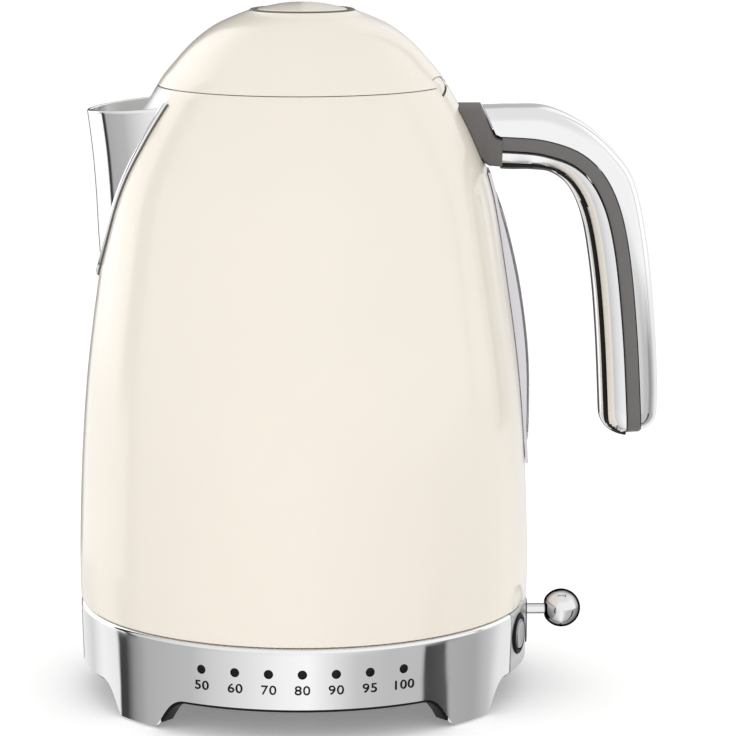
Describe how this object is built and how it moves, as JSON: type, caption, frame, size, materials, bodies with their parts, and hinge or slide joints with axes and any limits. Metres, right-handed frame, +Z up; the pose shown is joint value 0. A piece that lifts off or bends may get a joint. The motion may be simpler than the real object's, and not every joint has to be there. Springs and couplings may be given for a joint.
{
  "type": "electric kettle",
  "caption": "Cordless electric kettle with domed enamelled body, polished spout and loop handle, on a round power base with a lever and temperature lights.",
  "frame": {"origin": "on the table, under the middle of the overall width and depth", "axes": "+Z up, +X towards the handle, -X towards the spout, -Y towards the row of temperature lights"},
  "size_m": [0.2249, 0.1746, 0.2668],
  "materials": {
    "enamel": "gloss",
    "polished_steel": "polished",
    "satin_steel": "satin",
    "grey_plastic": "satin",
    "black_plastic": "satin",
    "clear_plastic": "gloss",
    "silicone": "matt",
    "brass": "satin",
    "circuit_board": "satin",
    "light_window": "gloss"
  },
  "bodies": {
    "power_base": {"base_skirt": "polished_steel", "control_panel": "satin_steel", "base_chassis": "black_plastic", "base_deck": "black_plastic", "base_bottom_cover": "black_plastic", "base_connector": "black_plastic", "connector_contact_ring": "brass", "foot_pad_front_right": "silicone", "foot_pad_front_left": "silicone", "foot_pad_rear_right": "silicone", "foot_pad_rear_left": "silicone", "temperature_light_1": "light_window", "temperature_light_2": "light_window", "temperature_light_3": "light_window", "temperature_light_4": "light_window", "temperature_light_5": "light_window", "temperature_light_6": "light_window", "temperature_light_7": "light_window", "control_board": "circuit_board", "cord_gland": "black_plastic", "lever_bracket": "black_plastic", "lever_pin": "satin_steel", "lever_spring": "satin_steel", "lever_switch": "black_plastic", "lever_slot_bezel": "black_plastic", "temperature_button_bezel": "black_plastic", "warm_button_bezel": "black_plastic"},
    "lever": {"lever_arm": "polished_steel", "lever_knob": "polished_steel"},
    "temperature_button": {"temperature_button": "polished_steel"},
    "warm_button": {"warm_button": "polished_steel"},
    "kettle": {"body_shell": "enamel", "spout": "polished_steel", "spout_trim": "polished_steel", "filter_frame": "grey_plastic", "filter_mesh": "satin_steel", "neck_ring": "grey_plastic", "hinge_pin": "satin_steel", "element_plate": "satin_steel", "plate_seal": "silicone", "heating_element": "satin_steel", "temperature_probe": "brass", "kettle_bottom_cover": "black_plastic", "kettle_connector": "black_plastic", "gauge_window": "clear_plastic", "gauge_frame": "satin_steel", "handle_outer_shell": "polished_steel", "handle_inner_shell": "polished_steel", "handle_core": "grey_plastic", "handle_mount": "grey_plastic", "handle_screw": "satin_steel"},
    "lid": {"lid_shell": "enamel", "lid_inner_cover": "grey_plastic", "lid_seal": "silicone", "lid_button_collar": "grey_plastic", "button_spring": "satin_steel"},
    "lid_button": {"lid_button": "enamel"},
    "lid_latch": {"lid_latch": "grey_plastic"}
  },
  "joints": [
    {"name": "kettle_lift", "type": "slide", "parent": "power_base", "child": "kettle", "axis": [0, 0, 1], "range_m": [0, 0.1]},
    {"name": "lid_hinge", "type": "hinge", "parent": "kettle", "child": "lid", "pos_m": [0.0257, 0, 0.236], "axis": [0, 1, 0], "range_deg": [0, 75]},
    {"name": "lid_button_press", "type": "slide", "parent": "lid", "child": "lid_button", "axis": [0, 0, -1], "range_m": [0, 0.003], "stiffness_N_per_m": 300, "springref_m": -0.002, "deforming": ["button_spring"]},
    {"name": "latch_slide", "type": "slide", "parent": "lid", "child": "lid_latch", "axis": [1, 0, 0], "range_m": [0, 0.0025]},
    {"name": "lever_press", "type": "hinge", "parent": "power_base", "child": "lever", "pos_m": [0.0269, 0, 0.0286], "axis": [0, 1, 0], "range_deg": [0, 15], "stiffness_Nm_per_rad": 0.15, "springref_deg": -11.46, "deforming": ["lever_spring"]},
    {"name": "temperature_button_press", "type": "slide", "parent": "power_base", "child": "temperature_button", "axis": [-0.9511, 0.309, 0], "range_m": [0, 0.0012], "stiffness_N_per_m": 400, "springref_m": -0.001},
    {"name": "warm_button_press", "type": "slide", "parent": "power_base", "child": "warm_button", "axis": [-0.9511, -0.309, 0], "range_m": [0, 0.0012], "stiffness_N_per_m": 400, "springref_m": -0.001}
  ],
  "couplings": [
    {"joint": "latch_slide", "follows": "lid_button_press", "ratio": 0.83}
  ]
}
